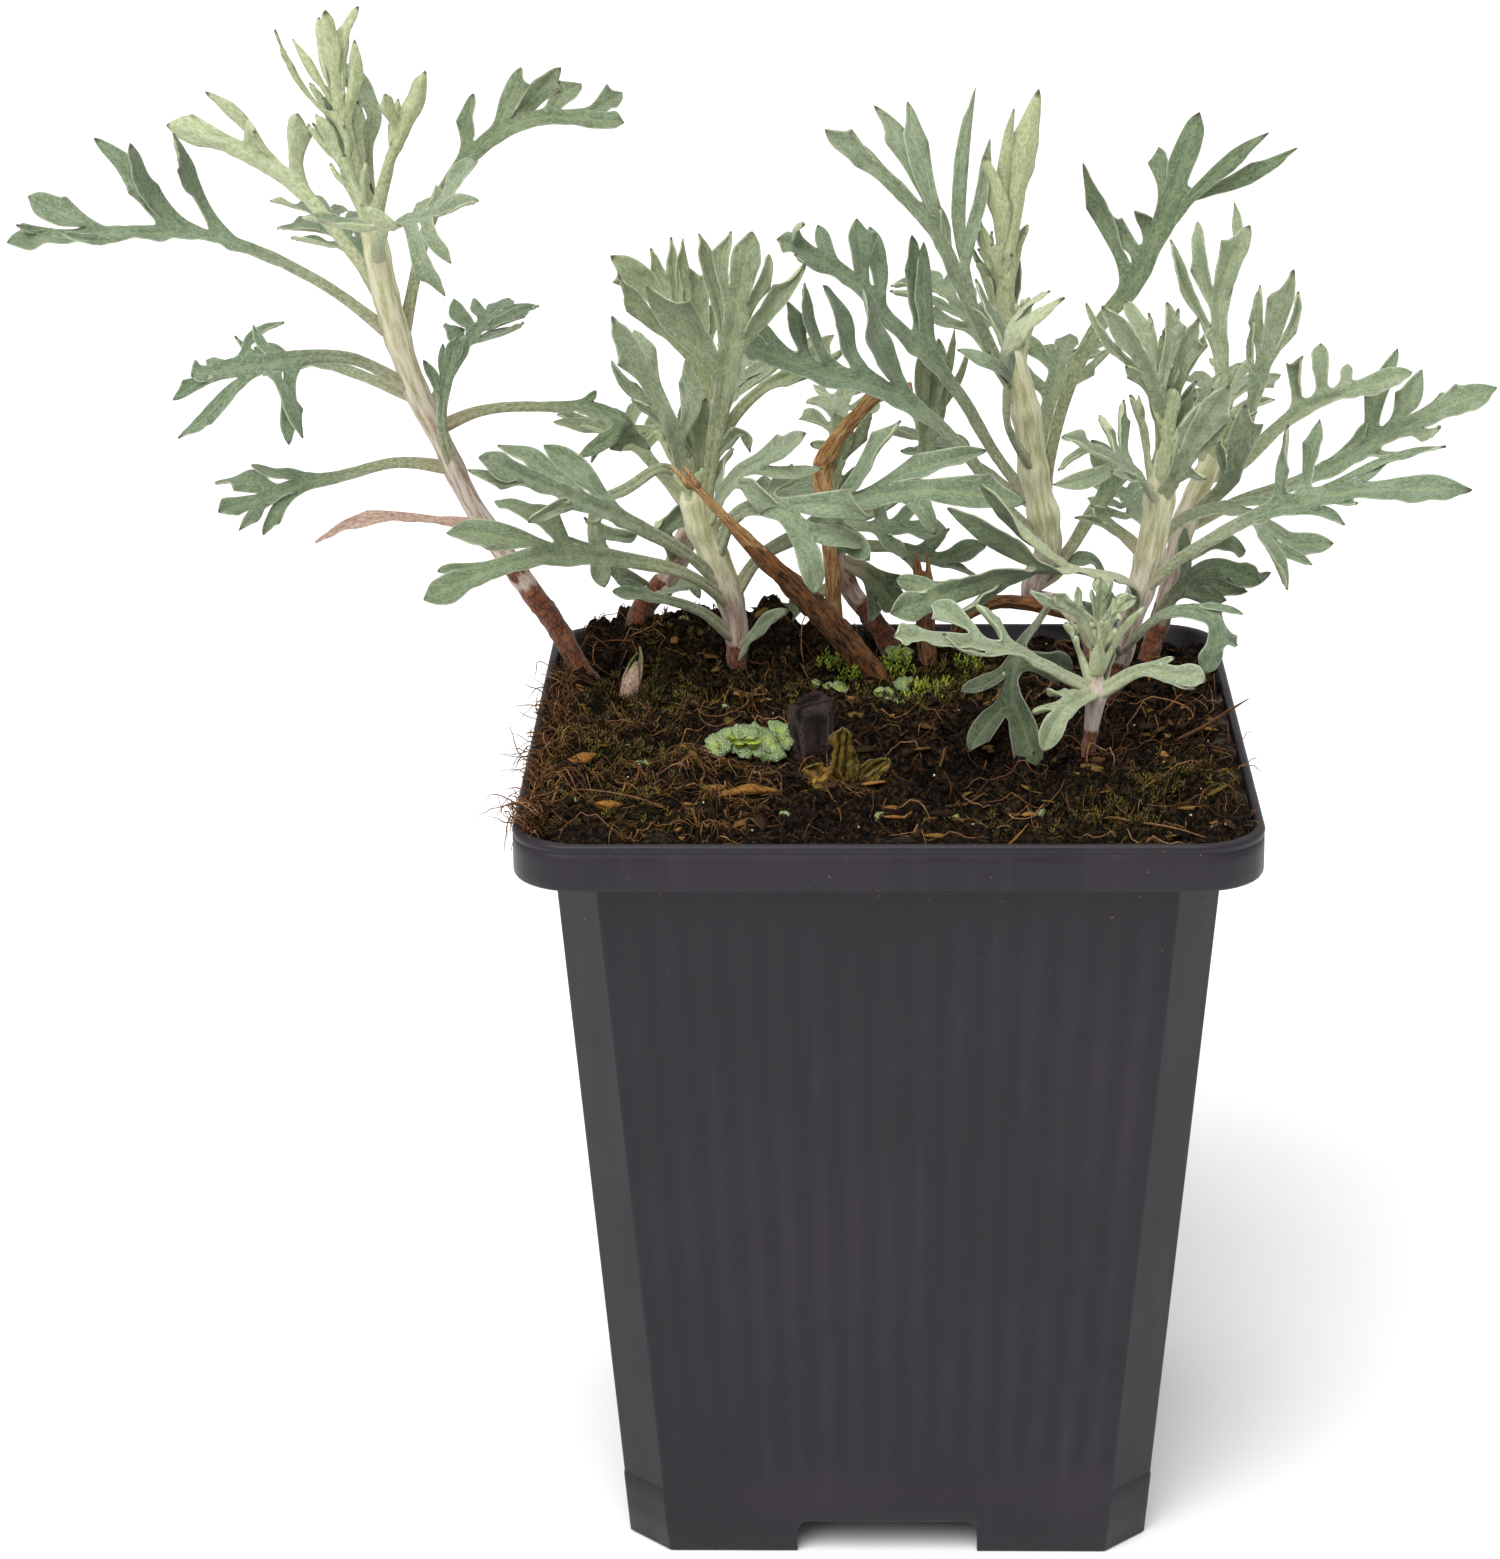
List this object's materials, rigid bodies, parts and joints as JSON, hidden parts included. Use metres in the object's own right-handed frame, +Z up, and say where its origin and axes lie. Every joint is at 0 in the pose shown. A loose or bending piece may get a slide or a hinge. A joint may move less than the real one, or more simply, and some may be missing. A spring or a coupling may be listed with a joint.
{
  "type": "potted silver queen artemisia",
  "caption": "Square nursery pot filled with soil, with upright felted stems that carry silver-green leaves cut into narrow lobes.",
  "frame": {"origin": "middle of the whole object's box, on the surface that the pot stands on", "axes": "+Z up, -Y towards the viewer of the picture, +X to the viewer's right; the pot's sides lie along X and Y"},
  "size_m": [0.1942, 0.1152, 0.1883],
  "materials": {
    "pot_plastic": "satin",
    "potting_soil": "matte",
    "silver_leaf": "matte",
    "old_wood": "matte",
    "dry_wood": "matte",
    "liverwort": "satin",
    "moss": "matte",
    "bark": "matte",
    "old_leaf": "matte"
  },
  "bodies": {
    "root": {"pot": "pot_plastic", "soil": "potting_soil", "shoot_left": "silver_leaf", "shoot_front_left": "silver_leaf", "shoot_back_left": "silver_leaf", "shoot_centre_back": "silver_leaf", "shoot_centre": "silver_leaf", "shoot_right": "silver_leaf", "shoot_front_right": "silver_leaf", "shoot_back_right": "silver_leaf", "bud": "silver_leaf", "leaning_stick": "old_wood", "dry_stem": "dry_wood", "split_stub": "old_wood", "liverwort_large": "liverwort", "liverwort_left": "liverwort", "liverwort_back": "liverwort", "liverwort_front": "liverwort", "moss_tuft": "moss", "bark_lump": "bark", "old_leaf_clump": "old_leaf", "wood_chip_1": "dry_wood", "wood_chip_2": "dry_wood", "wood_chip_3": "dry_wood"}
  },
  "joints": []
}
